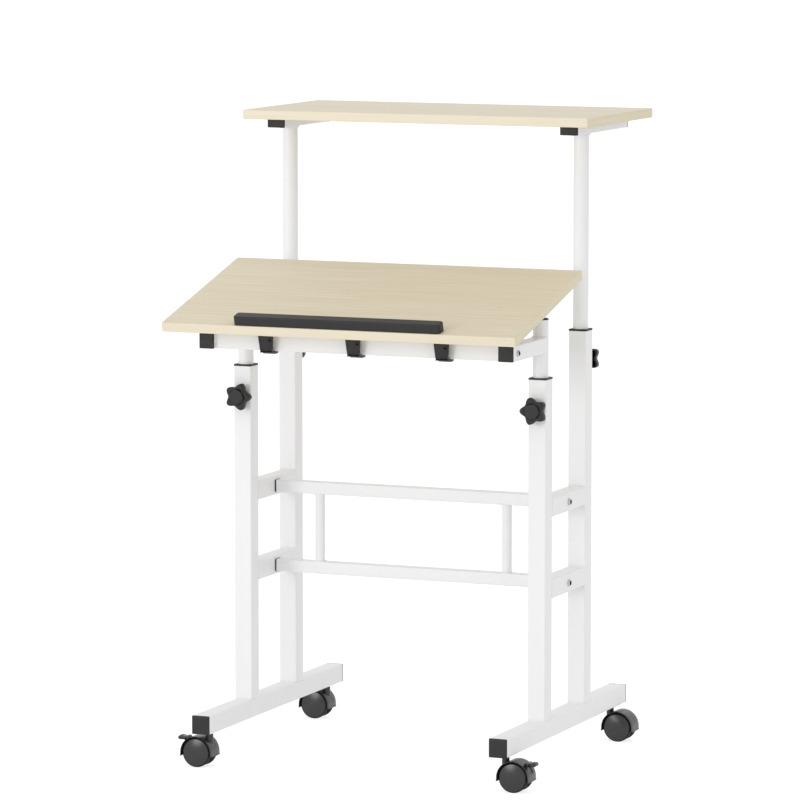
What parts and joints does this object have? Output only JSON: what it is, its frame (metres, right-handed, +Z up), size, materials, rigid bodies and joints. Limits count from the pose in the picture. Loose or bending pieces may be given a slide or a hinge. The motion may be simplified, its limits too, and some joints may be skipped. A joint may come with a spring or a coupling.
{
  "type": "sit-stand desk",
  "caption": "Mobile sit-stand desk: a tilting desk board and a rear shelf, each on round tubes that slide in square steel posts and lock with star knobs, on wheeled side frames.",
  "frame": {"origin": "on the floor, halfway between the side frames and halfway between the desk's foremost and rearmost points", "axes": "+Z up, -Y towards the user, +X to the user's right"},
  "size_m": [0.6162, 0.6148, 1.041],
  "materials": {
    "white_steel": "satin white powder coat",
    "black_plastic": "moulded, soft sheen",
    "zinc_steel": "zinc plated",
    "wood_laminate": "pale wood-grain laminate, satin"
  },
  "bodies": {
    "base": {"foot_left": "white_steel", "foot_right": "white_steel", "foot_end_caps": "black_plastic", "front_post_left": "white_steel", "front_post_right": "white_steel", "rear_post_left": "white_steel", "rear_post_right": "white_steel", "side_ties_left": "white_steel", "side_ties_right": "white_steel", "post_bushings": "black_plastic", "knob_nuts": "zinc_steel", "crossbar_upper": "white_steel", "crossbar_lower": "white_steel", "crossbar_rods": "white_steel", "crossbar_plugs": "black_plastic", "crossbar_bolts": "zinc_steel", "caster_stems": "zinc_steel"},
    "caster_fl": {"caster_housing_fl": "black_plastic", "caster_axle_fl": "zinc_steel"},
    "wheels_fl": {"caster_wheels_fl": "black_plastic"},
    "knob_fl": {"knob_fl": "black_plastic"},
    "caster_fr": {"caster_housing_fr": "black_plastic", "caster_axle_fr": "zinc_steel"},
    "wheels_fr": {"caster_wheels_fr": "black_plastic"},
    "knob_fr": {"knob_fr": "black_plastic"},
    "caster_rl": {"caster_housing_rl": "black_plastic", "caster_axle_rl": "zinc_steel"},
    "wheels_rl": {"caster_wheels_rl": "black_plastic"},
    "knob_rl": {"knob_rl": "black_plastic"},
    "caster_rr": {"caster_housing_rr": "black_plastic", "caster_axle_rr": "zinc_steel"},
    "wheels_rr": {"caster_wheels_rr": "black_plastic"},
    "knob_rr": {"knob_rr": "black_plastic"},
    "lever_left": {"brake_lever_left": "black_plastic"},
    "lever_right": {"brake_lever_right": "black_plastic"},
    "desk_carriage": {"desk_tube_left": "white_steel", "desk_tube_right": "white_steel", "desk_arm_left": "white_steel", "desk_arm_right": "white_steel", "desk_arm_caps": "black_plastic", "desk_tube_caps": "black_plastic", "desk_crossbar": "white_steel", "desk_frame_bolts": "zinc_steel", "hanging_hooks": "black_plastic", "hinge_bracket_left": "zinc_steel", "hinge_bracket_right": "zinc_steel", "hinge_pins": "zinc_steel"},
    "desk_top": {"desk_board": "wood_laminate", "laptop_stop": "black_plastic", "hinge_leaf_left": "zinc_steel", "hinge_leaf_right": "zinc_steel", "desk_screws": "zinc_steel"},
    "shelf": {"shelf_tube_left": "white_steel", "shelf_tube_right": "white_steel", "shelf_arm_left": "white_steel", "shelf_arm_right": "white_steel", "shelf_arm_caps": "black_plastic", "shelf_board": "wood_laminate", "shelf_screws": "zinc_steel"}
  },
  "joints": [
    {"name": "caster_swivel_fl", "type": "hinge", "parent": "base", "child": "caster_fl", "pos_m": [-0.2555, -0.22746, 0.05], "axis": [0, 0, 1], "continuous": true},
    {"name": "wheel_spin_fl", "type": "hinge", "parent": "caster_fl", "child": "wheels_fl", "pos_m": [-0.2729, -0.22746, 0.02375], "axis": [0, 1, 0], "continuous": true},
    {"name": "knob_turn_fl", "type": "hinge", "parent": "base", "child": "knob_fl", "pos_m": [-0.2555, -0.09716, 0.5855], "axis": [0, -1, 0], "continuous": true},
    {"name": "caster_swivel_fr", "type": "hinge", "parent": "base", "child": "caster_fr", "pos_m": [0.2555, -0.22746, 0.05], "axis": [0, 0, 1], "continuous": true},
    {"name": "wheel_spin_fr", "type": "hinge", "parent": "caster_fr", "child": "wheels_fr", "pos_m": [0.2729, -0.22746, 0.02375], "axis": [0, 1, 0], "continuous": true},
    {"name": "knob_turn_fr", "type": "hinge", "parent": "base", "child": "knob_fr", "pos_m": [0.2555, -0.09716, 0.5855], "axis": [0, -1, 0], "continuous": true},
    {"name": "caster_swivel_rl", "type": "hinge", "parent": "base", "child": "caster_rl", "pos_m": [-0.2555, 0.24054, 0.05], "axis": [0, 0, 1], "continuous": true},
    {"name": "wheel_spin_rl", "type": "hinge", "parent": "caster_rl", "child": "wheels_rl", "pos_m": [-0.2729, 0.24054, 0.02375], "axis": [0, 1, 0], "continuous": true},
    {"name": "knob_turn_rl", "type": "hinge", "parent": "base", "child": "knob_rl", "pos_m": [-0.2555, 0.11024, 0.646], "axis": [0, 1, 0], "continuous": true},
    {"name": "caster_swivel_rr", "type": "hinge", "parent": "base", "child": "caster_rr", "pos_m": [0.2555, 0.24054, 0.05], "axis": [0, 0, 1], "continuous": true},
    {"name": "wheel_spin_rr", "type": "hinge", "parent": "caster_rr", "child": "wheels_rr", "pos_m": [0.2729, 0.24054, 0.02375], "axis": [0, 1, 0], "continuous": true},
    {"name": "knob_turn_rr", "type": "hinge", "parent": "base", "child": "knob_rr", "pos_m": [0.2555, 0.11024, 0.646], "axis": [0, 1, 0], "continuous": true},
    {"name": "brake_press_left", "type": "hinge", "parent": "caster_fl", "child": "lever_left", "pos_m": [-0.29415, -0.22746, 0.045], "axis": [0, -1, 0], "range_deg": [0, 12]},
    {"name": "brake_press_right", "type": "hinge", "parent": "caster_fr", "child": "lever_right", "pos_m": [0.29415, -0.22746, 0.045], "axis": [0, 1, 0], "range_deg": [0, 12]},
    {"name": "desk_lift", "type": "slide", "parent": "base", "child": "desk_carriage", "axis": [0, 0, 1], "range_m": [-0.0387, 0.3]},
    {"name": "desk_tilt", "type": "hinge", "parent": "desk_carriage", "child": "desk_top", "pos_m": [0, -0.21416, 0.7138], "axis": [1, 0, 0], "range_deg": [-15.4, 44.6]},
    {"name": "shelf_lift", "type": "slide", "parent": "base", "child": "shelf", "axis": [0, 0, 1], "range_m": [-0.3, 0.12]}
  ]
}
